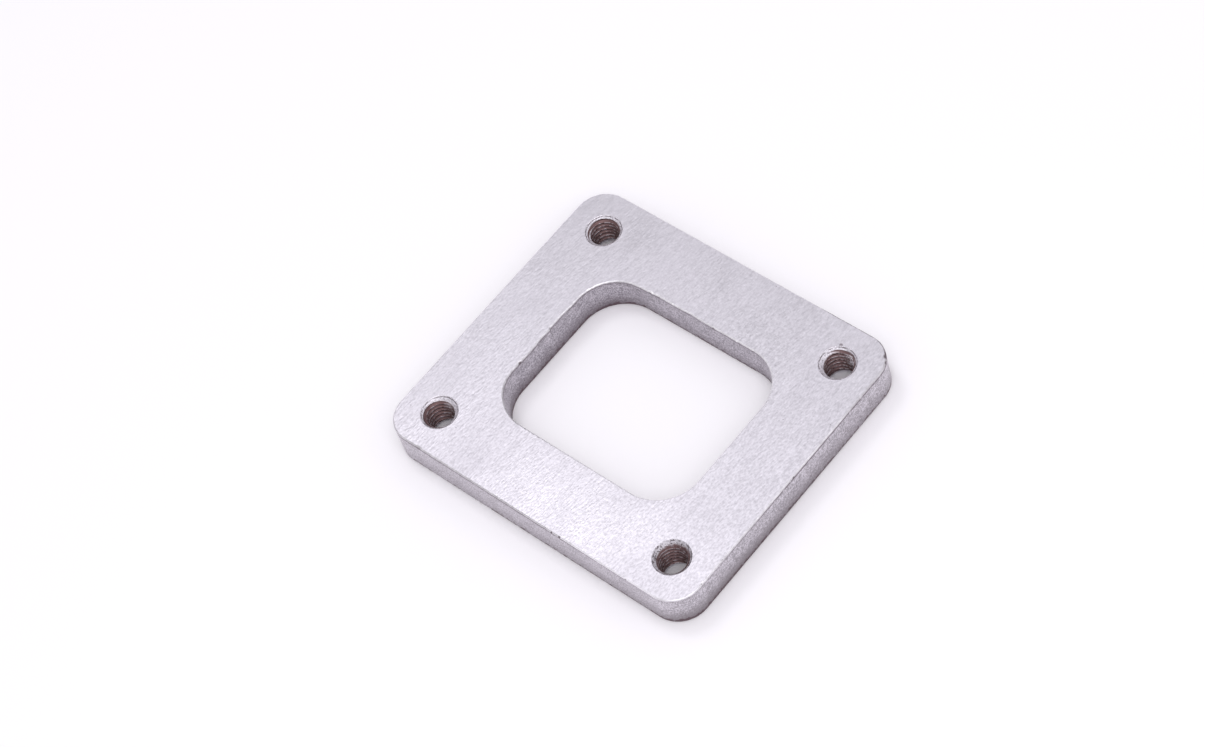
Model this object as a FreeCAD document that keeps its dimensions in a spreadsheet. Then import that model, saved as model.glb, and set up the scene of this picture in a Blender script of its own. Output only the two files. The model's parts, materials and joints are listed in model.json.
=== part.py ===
import FreeCAD, Part
import os

import Sketcher

# Four bolt flange cut from steel plate.
# The plate lies flat: its underside is on Z = 0, its long side runs along X, and the middle
# of the port is on the Z axis. The bolt pattern drives the outline, which keeps the same
# distance outside the hole centres on all four sides. Lengths are millimetres, angles degrees.

NODE = "flange"
SHEET = "Sizes"
FLAT = 1e-6  # an edge whose height varies by less than this lies in a face of the plate
START_POINT, END_POINT, CENTRE_POINT = range(1, 4)  # how a sketched curve's points are numbered
ORIGIN = (-1, START_POINT)  # the sketch's own origin

DRIVING_SIZES = {
    "hole_spacing_long": 70.0,  # between hole centres, along X
    "hole_spacing_short": 60.0,  # between hole centres, along Y
    "edge_distance": 10.0,  # from a hole's centre out to the plate's two nearest edges
    "plate_thickness": 9.5,
    "plate_corner_radius": 7.5,
    "port_length": 55.3,  # along X
    "port_width": 44.6,  # along Y
    "port_corner_radius": 11.0,
    "thread_diameter": 8.0,  # nominal size of the tapped holes
    "thread_pitch": 1.25,
    "countersink_lip": 0.6,  # how far a countersink reaches past the thread, all round
    "countersink_angle": 90.0,  # included angle of the cone
    "edge_break": 0.3,  # leg of the chamfer that takes the burr off every cut edge
}

# Sizes that follow from the driving ones, as expressions on the sheet
PLATE_LENGTH = f"{SHEET}.hole_spacing_long + 2 * {SHEET}.edge_distance"
PLATE_WIDTH = f"{SHEET}.hole_spacing_short + 2 * {SHEET}.edge_distance"
TAP_DRILL = f"{SHEET}.thread_diameter - {SHEET}.thread_pitch"
COUNTERSINK = f"{SHEET}.thread_diameter + 2 * {SHEET}.countersink_lip"


def fill_sheet(doc):
    """Write each driving size beside its name, and give its cell that name as alias."""
    sheet = doc.addObject("Spreadsheet::Sheet", SHEET)
    for row, (name, size) in enumerate(DRIVING_SIZES.items(), start=1):
        sheet.set(f"A{row}", name)
        sheet.set(f"B{row}", str(size))
        sheet.setAlias(f"B{row}", name)
    doc.recompute()


def sketch_on_face(body, name, height="0"):
    """Start a sketch parallel to the body's own XY plane, at the height given by an expression."""
    plane = next(f for f in body.Origin.OriginFeatures if f.Role == "XY_Plane")
    sketch = body.newObject("Sketcher::SketchObject", name)
    sketch.AttachmentSupport = [(plane, "")]
    sketch.MapMode = "FlatFace"
    sketch.setExpression("AttachmentOffset.Base.z", height)
    return sketch


def drive(sketch, kind, places, name, expression):
    """Add a dimension between the given places and bind it to an expression on the sheet."""
    index = sketch.addConstraint(
        Sketcher.Constraint(kind, *places, sketch.evalExpression(expression))
    )
    sketch.renameConstraint(index, name)
    sketch.setExpression(f"Constraints.{name}", expression)


def draw_rounded_rectangle(sketch, length, width, radius):
    """Draw four sides and four tangent corner arcs, anticlockwise and centred on the origin."""
    half_x = sketch.evalExpression(length) / 2
    half_y = sketch.evalExpression(width) / 2
    corner = sketch.evalExpression(radius)
    for out_x, out_y in ((1, 0), (0, 1), (-1, 0), (0, -1)):
        # the side faces out_x, out_y and runs to the left of that direction
        along_x, along_y = -out_y, out_x
        reach = half_x * abs(out_x) + half_y * abs(out_y)
        run = half_x * abs(along_x) + half_y * abs(along_y) - corner
        foot = FreeCAD.Vector(reach * out_x, reach * out_y, 0)
        step = FreeCAD.Vector(run * along_x, run * along_y, 0)
        sketch.addGeometry(Part.LineSegment(foot - step, foot + step))
        # the arc after it turns from out to along about a centre one radius inside both
        centre = foot + step - FreeCAD.Vector(corner * out_x, corner * out_y, 0)
        circle = Part.Circle(centre, FreeCAD.Vector(0, 0, 1), corner)
        start = circle.parameter(foot + step)
        end = circle.parameter(centre + FreeCAD.Vector(corner * along_x, corner * along_y, 0))
        sketch.addGeometry(Part.ArcOfCircle(circle, start, end))

    right, right_arc, top, top_arc, left, left_arc, bottom, bottom_arc = range(8)
    for curve in range(8):
        following = (curve + 1) % 8
        sketch.addConstraint(
            Sketcher.Constraint("Tangent", curve, END_POINT, following, START_POINT)
        )
    for side in (right, left):
        sketch.addConstraint(Sketcher.Constraint("Vertical", side))
    for side in (top, bottom):
        sketch.addConstraint(Sketcher.Constraint("Horizontal", side))
    for arc in (top_arc, left_arc, bottom_arc):
        sketch.addConstraint(Sketcher.Constraint("Equal", right_arc, arc))
    sketch.addConstraint(
        Sketcher.Constraint("Symmetric", right_arc, CENTRE_POINT, left_arc, CENTRE_POINT, *ORIGIN)
    )
    drive(sketch, "DistanceX", (left, START_POINT, right, START_POINT), "length", length)
    drive(sketch, "DistanceY", (bottom, START_POINT, top, START_POINT), "width", width)
    drive(sketch, "Radius", (right_arc,), "corner_radius", radius)


def draw_hole_circles(sketch):
    """Draw the four tap drill circles at the corners of the bolt pattern."""
    half_x = sketch.evalExpression(f"{SHEET}.hole_spacing_long") / 2
    half_y = sketch.evalExpression(f"{SHEET}.hole_spacing_short") / 2
    drill_radius = sketch.evalExpression(TAP_DRILL) / 2
    for side_x, side_y in ((1, 1), (-1, 1), (-1, -1), (1, -1)):
        centre = FreeCAD.Vector(side_x * half_x, side_y * half_y, 0)
        sketch.addGeometry(Part.Circle(centre, FreeCAD.Vector(0, 0, 1), drill_radius))

    first, second, third, fourth = range(4)
    for hole in (second, third, fourth):
        sketch.addConstraint(Sketcher.Constraint("Equal", first, hole))
    for hole, opposite in ((first, third), (second, fourth)):
        sketch.addConstraint(
            Sketcher.Constraint("Symmetric", hole, CENTRE_POINT, opposite, CENTRE_POINT, *ORIGIN)
        )
    sketch.addConstraint(
        Sketcher.Constraint("Horizontal", first, CENTRE_POINT, second, CENTRE_POINT)
    )
    sketch.addConstraint(Sketcher.Constraint("Vertical", second, CENTRE_POINT, third, CENTRE_POINT))
    drive(sketch, "Diameter", (first,), "tap_drill", TAP_DRILL)
    spacing_long = f"{SHEET}.hole_spacing_long"
    spacing_short = f"{SHEET}.hole_spacing_short"
    across = (second, CENTRE_POINT, first, CENTRE_POINT)
    up = (fourth, CENTRE_POINT, first, CENTRE_POINT)
    drive(sketch, "DistanceX", across, "spacing_long", spacing_long)
    drive(sketch, "DistanceY", up, "spacing_short", spacing_short)


def add_plate(body):
    """Pad the outline up from the underside to the plate's thickness."""
    sketch = sketch_on_face(body, "plate_outline")
    draw_rounded_rectangle(sketch, PLATE_LENGTH, PLATE_WIDTH, f"{SHEET}.plate_corner_radius")
    plate = body.newObject("PartDesign::Pad", "plate")
    plate.Profile = sketch
    plate.setExpression("Length", f"{SHEET}.plate_thickness")
    return plate


def add_port(body):
    """Cut the port straight up through the whole plate."""
    sketch = sketch_on_face(body, "port_outline")
    draw_rounded_rectangle(
        sketch, f"{SHEET}.port_length", f"{SHEET}.port_width", f"{SHEET}.port_corner_radius"
    )
    port = body.newObject("PartDesign::Pocket", "port")
    port.Profile = sketch
    port.Type = "ThroughAll"
    port.Reversed = True
    return port


def add_edge_break(body, cut_plate):
    """Chamfer every edge that a cut leaves in the two faces, round the outline and the port."""
    face_edges = [
        f"Edge{number}"
        for number, edge in enumerate(cut_plate.Shape.Edges, start=1)
        if edge.BoundBox.ZLength < FLAT
    ]
    edge_break = body.newObject("PartDesign::Chamfer", "edge_break")
    edge_break.Base = (cut_plate, face_edges)
    edge_break.setExpression("Size", f"{SHEET}.edge_break")
    return edge_break


def add_holes(doc, body, name, height, from_below):
    """Drill the four tapping holes through and countersink them at the face they start from."""
    sketch = sketch_on_face(body, f"{name}_centres", height)
    draw_hole_circles(sketch)
    doc.recompute()
    holes = body.newObject("PartDesign::Hole", name)
    holes.Profile = sketch
    doc.recompute()
    holes.ThreadType = "None"
    holes.DepthType = "ThroughAll"
    holes.Reversed = from_below
    holes.HoleCutType = "Countersink"
    holes.setExpression("Diameter", TAP_DRILL)
    holes.setExpression("HoleCutDiameter", COUNTERSINK)
    holes.setExpression("HoleCutCountersinkAngle", f"{SHEET}.countersink_angle")
    return holes


def check(doc, body, features):
    """Stop if an object failed, the solid is unsound or a cut took no metal away."""
    for item in doc.Objects:
        if "Invalid" in item.State or "Error" in item.State:
            raise RuntimeError(f"{item.Name} is {item.State}")
    if body.Shape.isNull() or not body.Shape.isValid() or len(body.Shape.Solids) != 1:
        raise RuntimeError("the flange is not one sound solid")
    for before, after in zip(features, features[1:]):
        if after.Shape.Volume >= before.Shape.Volume:
            raise RuntimeError(f"{after.Name} cut nothing")


def main():
    doc = FreeCAD.newDocument("flange_model")
    fill_sheet(doc)
    body = doc.addObject("PartDesign::Body", "flange_body")
    body.Label = NODE

    plate = add_plate(body)
    port = add_port(body)
    doc.recompute()
    edge_break = add_edge_break(body, port)
    doc.recompute()
    upper_holes = add_holes(
        doc, body, "tapping_holes", f"{SHEET}.plate_thickness", from_below=False
    )
    lower_holes = add_holes(doc, body, "back_countersinks", "0", from_below=True)
    doc.recompute()
    check(doc, body, [plate, port, edge_break, upper_holes, lower_holes])

    os.makedirs("parts", exist_ok=True)
    body.Shape.exportStep(f"parts/{NODE}.step")
    box = body.Shape.BoundBox
    print(f"{NODE}: {box.XLength:.2f} x {box.YLength:.2f} x {box.ZLength:.2f} mm")
    print(f"{NODE}: {body.Shape.Volume:.0f} cubic mm, {len(body.Shape.Faces)} faces")


main()
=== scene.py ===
import json
import logging
import math
from dataclasses import dataclass, field
from enum import Enum

import bpy
import numpy as np
from mathutils import Matrix, Vector


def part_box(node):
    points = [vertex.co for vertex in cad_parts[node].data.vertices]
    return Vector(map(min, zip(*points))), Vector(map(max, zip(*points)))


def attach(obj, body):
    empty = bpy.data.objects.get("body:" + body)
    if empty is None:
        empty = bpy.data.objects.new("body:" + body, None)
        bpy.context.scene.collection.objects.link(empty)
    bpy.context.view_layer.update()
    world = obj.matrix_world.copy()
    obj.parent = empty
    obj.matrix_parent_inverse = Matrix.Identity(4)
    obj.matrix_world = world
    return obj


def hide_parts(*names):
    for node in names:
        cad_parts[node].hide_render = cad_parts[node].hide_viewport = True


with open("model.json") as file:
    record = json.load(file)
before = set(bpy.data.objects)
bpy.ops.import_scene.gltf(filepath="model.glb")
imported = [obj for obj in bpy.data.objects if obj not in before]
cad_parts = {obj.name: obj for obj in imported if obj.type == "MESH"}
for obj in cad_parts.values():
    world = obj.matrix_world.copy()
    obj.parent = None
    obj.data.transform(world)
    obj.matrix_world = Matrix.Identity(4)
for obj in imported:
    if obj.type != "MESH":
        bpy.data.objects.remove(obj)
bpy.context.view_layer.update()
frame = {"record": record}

# A flange cut from steel plate: one piece, with a port and four tapped holes. Its ground faces,
# cut walls, countersinks and threads are surfaces worked out from the frame's sizes, in metres.

MM = 0.001
NODE = "flange"
PIECE = "ground_flange"
FROM_AXIS = "from_axis"  # how far each point lies from the axis of the nearest hole
OUTSIDE_TAP = "outside_tap"  # how far it lies outside the dark part of the bore, which is oil and painted shade
WELD = 2e-7  # surface points nearer than this are one point
SHARP_ANGLE = math.radians(24)  # an edge that turns by more than this is left crisp
COSINES = 14  # how many make up a ripple
RIPPLE = 0.4  # standard deviation of a ripple's height

Colour = tuple[float, float, float]  # red, green and blue, from 0 to 1
Place = tuple[float, float, float]  # one number for X, Y and Z each
Span = tuple[float, float]  # two ends, or one number for X and Y each
Material, Object, Socket = bpy.types.Material, bpy.types.Object, bpy.types.NodeSocket
Term = "Signal | float"  # what a sum or a product over a surface is made of

log = logging.getLogger("flange")


class Finish(Enum):
    """How a stretch of the surface was made. The value is its place in the material list."""

    GROUND = 0
    CUT = 1
    # painted shade: the port's walls take a darker copy of the cut wall's colours
    PORT_CUT = 2
    TAPPED = 3


class Face(Enum):
    """One of the plate's two flat faces. The value is the row of a wall's grid that meets it."""

    TOP = 0
    UNDER = -1


def link(name: str, data: bpy.types.ID) -> Object:
    """Make an object and link it into the scene.

    Args:
        name: the object's name.
        data: its mesh, camera or light.

    Returns:
        The object.
    """
    thing = bpy.data.objects.new(name, data)
    bpy.context.scene.collection.objects.link(thing)
    return thing


def ripple(along: np.ndarray, lap: float, waves: tuple[int, int], seed: int) -> np.ndarray:
    """Uneven wave round a closed path, between about -1 and 1, that meets itself at the seam.

    The height is a sum of cosines. Each has a whole number of waves to the lap, drawn between
    the two given, and a phase of its own. The sum is scaled to a fixed standard deviation.

    Args:
        along: distance run round the path.
        lap: the path's whole length.
        waves: fewest and most waves to the lap.
        seed: picks the waves and phases.

    Returns:
        One height for each distance, in the same shape.
    """
    chance = np.random.default_rng(seed)
    number = chance.integers(waves[0], waves[1] + 1, COSINES)
    phase = chance.uniform(0, 2 * np.pi, COSINES)
    turns = 2 * np.pi * along[..., None] / lap
    height = np.cos(turns * number + phase).sum(axis=-1)
    return RIPPLE * height / math.sqrt(COSINES / 2)


@dataclass(frozen=True)
class RoundedRectangle:
    """A rectangle with four equal round corners, centred on the Z axis, as a closed path.

    Attributes:
        length: size along X.
        width: size along Y.
        radius: radius of the corners.
    """

    length: float
    width: float
    radius: float

    @property
    def quarter(self) -> float:
        """Distance along the path from the middle of one side to the middle of the next."""
        return self.length / 2 + self.width / 2 + (math.pi / 2 - 2) * self.radius

    @property
    def lap(self) -> float:
        """The path's whole length."""
        return 4 * self.quarter

    def at(self, along: np.ndarray) -> tuple[np.ndarray, np.ndarray]:
        """Points and outward directions at given distances along the path.

        The path runs anticlockwise from the middle of its right side. A point is one radius out
        from a core point, in a direction that stands still along a side while the core point
        moves, and turns round a corner while the core point stands still. Core point and
        direction are therefore straight lines between the ends of sides and corners.

        Args:
            along: distances, which may be under zero or over a lap.

        Returns:
            Points and unit directions, two numbers each.
        """
        core_x, core_y = self.length / 2 - self.radius, self.width / 2 - self.radius
        bend = math.pi / 2 * self.radius
        steps = [core_y, bend, 2 * core_x, bend, 2 * core_y, bend, 2 * core_x, bend, core_y]
        knots = np.concatenate([[0.0], np.cumsum(steps)])
        across = core_x * np.array([1, 1, 1, -1, -1, -1, -1, 1, 1, 1])
        up = core_y * np.array([0, 1, 1, 1, 1, -1, -1, -1, -1, 0])
        turn = math.pi / 2 * np.array([0, 0, 1, 1, 2, 2, 3, 3, 4, 4])
        place = np.mod(along, self.lap)
        angle = np.interp(place, knots, turn)
        out = np.stack([np.cos(angle), np.sin(angle)], axis=-1)
        core = np.stack([np.interp(place, knots, across), np.interp(place, knots, up)], axis=-1)
        return core + self.radius * out, out

    def cuts(self, cut_x: float, cut_y: float) -> list[Span]:
        """Split the path where it passes X = plus or minus cut_x and Y = plus or minus cut_y.

        Args:
            cut_x: half the width of the strips beside the port's long sides.
            cut_y: half the width of the strips beside its short sides.

        Returns:
            Start and end of eight stretches in the path's order: a corner, then the side that
            follows it, beginning at the corner where X and Y are positive.
        """
        corner = self.quarter - cut_x - cut_y
        ends = np.cumsum([cut_y] + [corner, 2 * cut_x, corner, 2 * cut_y] * 2)
        return list(zip(ends[:-1], ends[1:]))


@dataclass(frozen=True)
class Dent:
    """A place where an edge or a wall lies deeper in the metal than the rest of it.

    Attributes:
        x, y: its middle, seen from above, in millimetres.
        reach: this many millimetres away it is about a third as deep.
        depth: of its middle, in millimetres, or under zero where metal stands proud.
    """

    x: float
    y: float
    reach: float
    depth: float

    def at(self, points: np.ndarray) -> np.ndarray:
        """How deep it is, in metres, at points seen from above: a bell curve round its middle."""
        away = np.hypot(points[:, 0] - self.x * MM, points[:, 1] - self.y * MM)
        return self.depth * MM * np.exp(-((away / (self.reach * MM)) ** 2))


@dataclass(frozen=True)
class Seam:
    """The line down a wall where the laser's path closed, with a shallow step before it.

    Attributes:
        start: distance along the path at which the line stands.
        depth: how much deeper in the metal the wall lies just before it.
        run: over this distance before the line the step eases away.
    """

    start: float
    depth: float
    run: float

    RISE = 0.2 * MM  # over this distance behind the line the step comes to its full depth

    def at(self, along: np.ndarray) -> np.ndarray:
        """How deep the step is: full from the line back to half its run, then falling evenly.

        Args:
            along: distances along the path.

        Returns:
            A depth for each distance.
        """
        before = self.start - along
        rise = np.clip(before / self.RISE, 0, 1)
        return self.depth * rise * np.clip(2 * (1 - before / self.run), 0, 1)


@dataclass(frozen=True)
class BrokenEdge:
    """The narrow worn band that takes the burr off a cut edge.

    Attributes:
        leg: its width on each of the two surfaces that it joins.
        unevenness: how much of the width comes and goes along the edge.
        waves: fewest and most waves of that unevenness to a lap.
        seed: picks the waves.
        nicks: chips out of the edge.
    """

    leg: float
    unevenness: float
    waves: tuple[int, int]
    seed: int
    nicks: tuple[Dent, ...] = ()

    def legs(self, path: RoundedRectangle, along: np.ndarray) -> np.ndarray:
        """Width of the band: the leg times one plus the unevenness times a ripple, plus nicks.

        Args:
            path: where the edge runs.
            along: distances along it.

        Returns:
            A width for each distance.
        """
        points, _ = path.at(along)
        legs = self.leg * (1 + self.unevenness * ripple(along, path.lap, self.waves, self.seed))
        return legs + sum(nick.at(points) for nick in self.nicks)


@dataclass(frozen=True)
class CutWall:
    """The wall that a laser leaves round a closed path, with a broken edge at each face.

    Attributes:
        path: where the wall stands.
        into_metal: 1 if the metal is outside the path, as round a port, and -1 if inside.
        thickness: height of the plate.
        edges: the broken edge at each face.
        drag_waves: fewest and most lines to a lap that the jet leaves down the wall.
        lag: how far the lines trail along the path from the top to the underside.
        seed: picks the lines.
        strays: where the top of the wall stands off its path.
        seam: where the cut was closed.
    """

    path: RoundedRectangle
    into_metal: int
    thickness: float
    edges: dict[Face, BrokenEdge]
    drag_waves: tuple[int, int]
    lag: float
    seed: int
    strays: tuple[Dent, ...] = ()
    seam: Seam | None = None

    ROUND_STEPS = 4  # rows of a broken edge
    PLAIN_ROWS = 7  # rows between the two
    SUPPORT = 0.12 * MM  # width of the first row beside a broken edge, which keeps shading crisp
    DRAG = 0.006 * MM  # depth of the drag lines
    FADE = 0.06  # share of the height, at each face, over which they fade out
    FAINTEST = 0.35  # their depth at the top, as a share of that at the underside

    def rows(self, along: np.ndarray) -> np.ndarray:
        """Work the wall out as a grid: one row for each height, one column for each distance.

        The profile starts in the top face one leg in from the path, runs down a quarter circle
        pressed halfway towards its chord, then straight down, and back under the other edge the
        same way. Down the straight part it dips into the metal by the drag lines, which grow
        towards the underside and trail along the path by the square of the depth. The strays and
        the seam's step move it too, in full at the top and less and less down to the underside.

        Args:
            along: distances along the path, one for each column.

        Returns:
            Points in an array of rows by columns by 3, from the top face to the underside.
        """
        points, out = self.path.at(along)
        into = self.into_metal * out
        turn = np.linspace(0, math.pi / 2, self.ROUND_STEPS + 1)
        share = np.linspace(0, 1, self.ROUND_STEPS + 1)
        inset = (1 - np.sin(turn) + 1 - share) / 2
        drop = (1 - np.cos(turn) + share) / 2
        top, under = (self.edges[face].legs(self.path, along) for face in Face)
        upper = self.thickness - top - self.SUPPORT
        lower = under + self.SUPPORT
        plain = np.linspace(0, 1, self.PLAIN_ROWS + 1)[:, None]
        heights = np.concatenate(
            [self.thickness - drop[:, None] * top, upper - plain * (upper - lower),
             drop[::-1, None] * under]
        )
        blank = np.zeros((self.PLAIN_ROWS + 1, len(along)))
        insets = np.concatenate([inset[:, None] * top, blank, inset[::-1, None] * under])

        depth = 1 - heights / self.thickness
        trail = along[None, :] + self.lag * depth**2
        lines = ripple(trail, self.path.lap, self.drag_waves, self.seed)
        fade = np.clip(np.minimum(depth, 1 - depth) / self.FADE, 0, 1)
        growth = self.FAINTEST + (1 - self.FAINTEST) * depth
        insets = insets + self.DRAG * fade * growth * np.maximum(1 + lines, 0)
        stray = sum(stray.at(points) for stray in self.strays)
        if self.seam is not None:
            stray = stray + self.seam.at(along)
        insets = insets + (1 - depth) * stray
        places = points[None, :, :] + insets[..., None] * into[None, :, :]
        return np.concatenate([places, heights[..., None]], axis=-1)


@dataclass(frozen=True)
class TappedHole:
    """A hole through the plate, drilled, countersunk at both faces and tapped.

    Attributes:
        centre: where its axis meets the XY plane.
        thread: nominal diameter of the thread.
        pitch: rise of the thread in one turn.
        drill: diameter of the drilled wall that is left on the thread's crests.
        sink: diameter of the countersinks at the faces.
        bared: radius from which outwards the countersinks are bare bright metal.
        shift: how far the middle of that circle lies off the hole's axis.
        thickness: height of the plate.
    """

    centre: Span
    thread: float
    pitch: float
    drill: float
    sink: float
    bared: float
    shift: Span
    thickness: float

    ROOT = 1 / 8  # width of the thread's root, in pitches
    LEAN = math.radians(30)  # of its flanks
    EASE = 0.022  # how far the points beside a corner of the thread lie from it, in pitches
    LEAD_IN = 1.5  # how far under the underside the rows start, in pitches
    SPARE_TURNS = 2  # turns past the plate's height, so that rows are left for both faces

    def rim(self, angles: np.ndarray, face: Face) -> np.ndarray:
        """The circle of the countersink's edge.

        Args:
            angles: one for each point.
            face: the face that it lies in.

        Returns:
            The points.
        """
        height = self.thickness if face is Face.TOP else 0.0
        around = np.stack([np.cos(angles), np.sin(angles)], axis=-1)
        flat = np.array(self.centre) + self.sink / 2 * around
        return np.concatenate([flat, np.full((len(angles), 1), height)], axis=-1)

    def turn_profile(self) -> tuple[np.ndarray, np.ndarray]:
        """Radius of the thread over one pitch, as stations from 0 to 1 and their radii.

        The root lies at the thread's own radius. Its two flanks lean from square to the axis
        down to the drilled radius, which is the crest. The corners between them are rounded by
        a point each side of where they would meet.

        Returns:
            The stations and the radii.
        """
        high, low = self.thread / 2, self.drill / 2
        root = self.ROOT / 2
        foot = root + (high - low) * math.tan(self.LEAN) / self.pitch
        half = np.array([corner + side * self.EASE for corner in (root, foot) for side in (-1, 1)])
        places = np.concatenate([half, 1 - half[::-1]])
        return places, np.interp(places, [root, foot, 1 - foot, 1 - root], [high, low, low, high])

    def rows(self, angles: np.ndarray) -> np.ndarray:
        """Work the bore out as a grid whose rows follow the thread's helix.

        A point's height is its row's height plus the pitch times its share of a turn, held
        between the two faces. Its radius is the largest of three: the thread's at that row, and
        those of the two cones, which narrow by as much as the height leaves their face.

        Args:
            angles: the columns, which rise through one whole turn and end where they began.

        Returns:
            Points in an array of rows by columns by 3, from the top face to the underside.
        """
        places, radii = self.turn_profile()
        turns = math.ceil(self.thickness / self.pitch) + self.SPARE_TURNS
        row_turns = (np.arange(turns)[:, None] + places[None, :]).ravel()
        lead = self.pitch * (angles - angles[0]) / (2 * math.pi)
        heights = ((row_turns - self.LEAD_IN) * self.pitch)[:, None] + lead[None, :]
        heights = np.clip(heights, 0, self.thickness)
        cone = self.sink / 2 - np.minimum(heights, self.thickness - heights)
        thread = np.tile(radii, turns)[:, None]
        radius = np.maximum(thread, cone)
        x = self.centre[0] + radius * np.cos(angles)
        y = self.centre[1] + radius * np.sin(angles)
        return np.stack([x, y, heights], axis=-1)[::-1]

    def measure(self, points: np.ndarray) -> tuple[np.ndarray, np.ndarray]:
        """Measure how far points lie from two axes along Z.

        Args:
            points: three numbers each.

        Returns:
            Their distances from the hole's axis, and how far they lie outside its bared circle.
        """
        away = points[:, :2] - np.array(self.centre)
        off_centre = away - np.array(self.shift)
        return np.hypot(*away.T), np.hypot(*off_centre.T) - self.bared


@dataclass
class Sheets:
    """Grids of points that are welded into one closed mesh.

    Attributes:
        parts: for each grid its points, and its small faces' point numbers and finishes.
    """

    parts: list[tuple[np.ndarray, np.ndarray, np.ndarray]] = field(default_factory=list)

    def add(self, grid: np.ndarray, finish: Finish, flip: bool = False) -> None:
        """Add a grid of points, whose faces run from each row to the next.

        Args:
            grid: rows by columns by 3.
            finish: how its surface was made.
            flip: turn the faces over.
        """
        rows, columns = grid.shape[:2]
        first = sum(len(points) for points, _, _ in self.parts)
        number = first + np.arange(rows * columns).reshape(rows, columns)
        corners = [number[:-1, :-1], number[1:, :-1], number[1:, 1:], number[:-1, 1:]]
        quads = np.stack(corners[::-1] if flip else corners, axis=-1).reshape(-1, 4)
        self.parts.append((grid.reshape(-1, 3), quads, np.full(len(quads), finish.value)))

    def weld(self, name: str) -> Object:
        """Merge the points that coincide, drop the faces that have no area and make the mesh.

        Args:
            name: the new object's name.

        Returns:
            The object, at the origin, linked into the scene.
        """
        points, quads, finishes = map(np.concatenate, zip(*self.parts))
        _, first, same = np.unique(
            np.round(points / WELD).astype(np.int64), axis=0, return_index=True, return_inverse=True
        )
        quads = same.reshape(-1)[quads]
        repeats = quads == np.roll(quads, -1, axis=1)
        whole = ~repeats.any(axis=1)
        corner = repeats.sum(axis=1) == 1
        collapsed = quads[corner]
        three = collapsed[~repeats[corner]].reshape(-1, 3)

        mesh = bpy.data.meshes.new(name)
        mesh.from_pydata(points[first], [], quads[whole].tolist() + three.tolist())
        mesh.polygons.foreach_set(
            "material_index", np.concatenate([finishes[whole], finishes[corner]]).astype(np.int32)
        )
        mesh.polygons.foreach_set("use_smooth", np.ones(len(mesh.polygons), bool))
        mesh.set_sharp_from_angle(angle=SHARP_ANGLE)
        mesh.update()
        return link(name, mesh)


class Signal:
    """A number that varies over a surface: an output socket with Python's arithmetic on it."""

    def __init__(self, board: "Board", socket: Socket) -> None:
        """Wrap a socket.

        Args:
            board: the node tree that the socket belongs to.
            socket: an output socket that gives one number.
        """
        self.board = board
        self.socket = socket

    def _math(self, operation: str, *values: Term, clamp: bool = False) -> "Signal":
        """Add a Math node.

        Args:
            operation: what it does.
            values: what it does it to.
            clamp: hold the result between 0 and 1.

        Returns:
            What it gives.
        """
        settings = {"operation": operation, "use_clamp": clamp}
        node = self.board.add("ShaderNodeMath", settings, dict(enumerate(values)))
        return Signal(self.board, node.outputs[0])

    def __add__(self, other: Term) -> "Signal":
        """This plus another."""
        return self._math("ADD", self, other)

    def __sub__(self, other: Term) -> "Signal":
        """This less another."""
        return self._math("SUBTRACT", self, other)

    def __rsub__(self, other: Term) -> "Signal":
        """Another less this."""
        return self._math("SUBTRACT", other, self)

    def __mul__(self, other: Term) -> "Signal":
        """This times another."""
        return self._math("MULTIPLY", self, other)

    def __truediv__(self, other: Term) -> "Signal":
        """This over another."""
        return self._math("DIVIDE", self, other)

    def __abs__(self) -> "Signal":
        """This without its sign."""
        return self._math("ABSOLUTE", self)

    __radd__ = __add__
    __rmul__ = __mul__

    def clamp(self) -> "Signal":
        """This held between 0 and 1."""
        return self._math("ADD", self, 0.0, clamp=True)

    def above(self, low: float, high: float) -> "Signal":
        """A smooth step.

        Args:
            low: up to here it is 0.
            high: from here it is 1.

        Returns:
            The step.
        """
        settings = {"interpolation_type": "SMOOTHSTEP"}
        inputs = {"Value": self, "From Min": low, "From Max": high}
        node = self.board.add("ShaderNodeMapRange", settings, inputs)
        return Signal(self.board, node.outputs["Result"])

    def between(self, low: float, high: float) -> "Signal":
        """Low where this is 0 and high where it is 1, in a straight line."""
        return low + (high - low) * self


def weigh(weights: tuple[float, ...], *layers: Signal) -> Signal:
    """A base, which is the first of the weights, plus each layer times its own weight."""
    base, *shares = weights
    return sum((share * layer for share, layer in zip(shares, layers, strict=True)), base)


@dataclass(frozen=True)
class Grain:
    """Uneven noise that is fixed to the object.

    Attributes:
        cell: size of its cells along X, Y and Z, in millimetres.
        shift: moves the pattern, in cells.
        detail: how many finer layers it has.
        rough: how strong the finer layers are.
    """

    cell: Place
    shift: Place = (0.0, 0.0, 0.0)
    detail: float = 2.0
    rough: float = 0.5


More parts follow.
